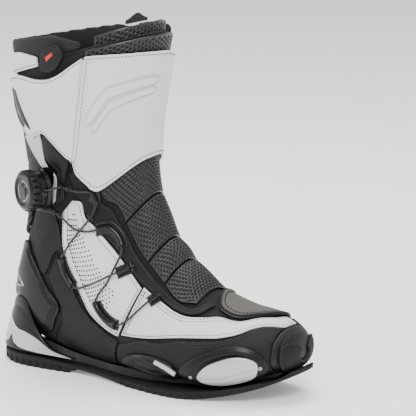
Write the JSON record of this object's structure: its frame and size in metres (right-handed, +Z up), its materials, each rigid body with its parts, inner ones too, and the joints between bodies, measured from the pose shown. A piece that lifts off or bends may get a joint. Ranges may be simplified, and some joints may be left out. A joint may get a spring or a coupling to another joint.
{
  "type": "motorcycle touring boot",
  "caption": "Right-foot ankle-high riding boot: silver wrap-round shin flap, rotary lace dial, laced instep, hexagon-mesh bellows, toe slider and ribbed rubber sole.",
  "frame": {"origin": "on the tread, at the middle of the boot's length", "axes": "+X towards the toe, +Y towards the inner (medial) side, +Z up"},
  "size_m": [0.3055, 0.1287, 0.3213],
  "materials": {
    "sole_rubber": "matt moulded rubber",
    "toe_rubber": "smooth semi-gloss black rubber with soft folds",
    "sole_board": "matt black board and foam",
    "lining": "knitted black lining",
    "base_fabric": "black textile with foam behind",
    "silver_leather": "pearl silver coated leather, fine grain",
    "plate_silver": "smooth pearl silver with an embossed chevron",
    "black_leather": "black grained leather",
    "black_plastic": "satin black moulding",
    "silver_plastic": "satin silver paint",
    "dial_plastic": "satin black moulding",
    "spool_grey": "matt grey moulding",
    "screw_steel": "dark plated steel",
    "instep_mesh": "glossy black coating pressed with small hexagons",
    "shift_textile": "dark grey woven abrasion pad",
    "reflective": "grey reflective textile",
    "hook_loop": "hook-and-loop textile",
    "lace_cord": "thin coated cord",
    "webbing": "woven webbing"
  },
  "bodies": {
    "foot": {"outsole": "sole_rubber", "midsole": "sole_board", "footbed": "sole_board", "heel_cup": "sole_rubber", "heel_insert": "silver_plastic", "foot_liner": "lining", "ankle_liner": "lining", "foot_shell": "base_fabric", "ankle_shell": "base_fabric", "toe_cap": "toe_rubber", "toe_bumper": "sole_rubber", "rand_lateral": "toe_rubber", "rand_medial": "toe_rubber", "vamp": "silver_leather", "shift_pad": "shift_textile", "slider_bezel": "black_plastic", "slider_plate": "silver_plastic", "slider_screws": "screw_steel", "ball_pod": "black_plastic", "ball_insert": "silver_plastic", "heel_counter": "black_plastic", "heel_reflector": "reflective", "quarter_lateral": "black_leather", "quarter_medial": "black_leather", "ankle_panel_lateral": "black_leather", "ankle_panel_medial": "black_leather", "achilles_ribs": "black_plastic", "perforated_panel": "silver_leather", "medial_panel": "silver_leather", "instep_mesh_1": "instep_mesh", "instep_mesh_2": "instep_mesh", "instep_mesh_3": "instep_mesh", "instep_border": "black_leather", "lace_guide_bar": "dial_plastic", "lace_guide_hook": "dial_plastic", "lace_guide_front_2": "dial_plastic", "lace_guide_front_3": "dial_plastic", "lace": "lace_cord"},
    "shaft": {"shaft_liner": "lining", "shaft_shell": "base_fabric", "calf_panel": "black_leather", "calf_wing": "plate_silver", "calf_graphic": "black_plastic", "support_arm": "black_plastic", "support_tail": "silver_leather", "upper_guide": "dial_plastic", "lace_guide_front_1": "dial_plastic", "tongue": "base_fabric", "pull_tab": "webbing", "collar_pad": "base_fabric", "collar_rear": "silver_leather", "collar_tab": "black_plastic", "loop_patch": "hook_loop", "dial_seat": "black_plastic", "dial_base": "dial_plastic", "dial_housing": "dial_plastic"},
    "flap": {"shin_flap": "plate_silver", "hook_patch": "hook_loop"},
    "spool": {"dial_spool": "spool_grey"},
    "knob": {"dial_knob": "dial_plastic"}
  },
  "joints": [
    {"name": "ankle_flex", "type": "hinge", "parent": "foot", "child": "shaft", "pos_m": [-0.07, 0, 0.095], "axis": [0, 1, 0], "range_deg": [-6, 12], "deforming": ["lace_guide_front_2", "ankle_liner", "ankle_shell", "ankle_panel_lateral", "ankle_panel_medial", "achilles_ribs", "perforated_panel", "medial_panel", "instep_mesh_1", "instep_mesh_2", "instep_border", "lace"]},
    {"name": "shin_flap_open", "type": "hinge", "parent": "shaft", "child": "flap", "pos_m": [-0.05178, -0.05054, 0.19114], "axis": [-0.2009, 0.0837, -0.976], "range_deg": [0, 95]},
    {"name": "dial_turn", "type": "hinge", "parent": "shaft", "child": "spool", "pos_m": [-0.08237, -0.04881, 0.16626], "axis": [-0.4384, -0.8988, 0], "continuous": true},
    {"name": "dial_release", "type": "slide", "parent": "spool", "child": "knob", "axis": [-0.4384, -0.8988, 0], "range_m": [0, 0.002]}
  ]
}
